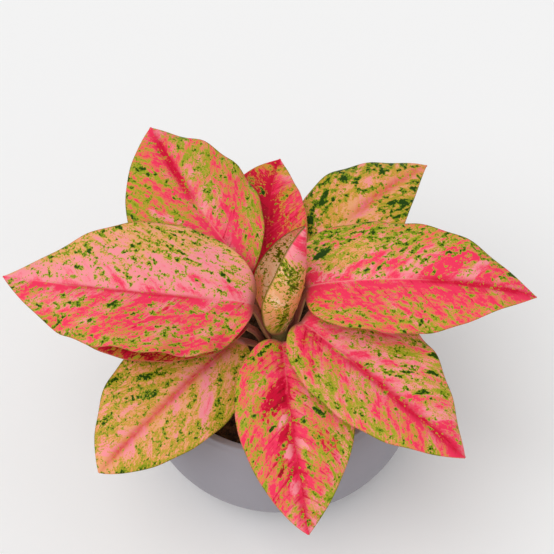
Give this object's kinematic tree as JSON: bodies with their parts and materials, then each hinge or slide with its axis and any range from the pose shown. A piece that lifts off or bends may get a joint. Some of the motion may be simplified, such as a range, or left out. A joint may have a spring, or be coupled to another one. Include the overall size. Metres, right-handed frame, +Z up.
{
  "type": "potted chinese evergreen",
  "caption": "Low potted foliage plant: broad pointed leaves on short stalks round a cane, in soil, in a round squat bowl pot.",
  "frame": {"origin": "centre of the pot's flat base, where it stands", "axes": "+Z up along the pot's axis; -Y is the front, the side seen in the picture; +X is to the right as seen from the front"},
  "size_m": [0.3783, 0.3058, 0.2327],
  "materials": {
    "pot": "matt, smooth, light bluish grey",
    "soil": null,
    "cane": "satin, pale olive with ring scars",
    "leaf": null,
    "young_leaf": null
  },
  "bodies": {
    "root": {"pot": "pot", "soil": "soil", "cane": "cane", "leaf_left": "leaf", "leaf_right": "leaf", "leaf_back_left": "leaf", "leaf_front_right": "leaf", "leaf_front": "leaf", "leaf_back": "leaf", "leaf_front_left": "leaf", "leaf_back_right": "leaf", "leaf_left_lower": "leaf", "leaf_young": "young_leaf"}
  },
  "joints": []
}
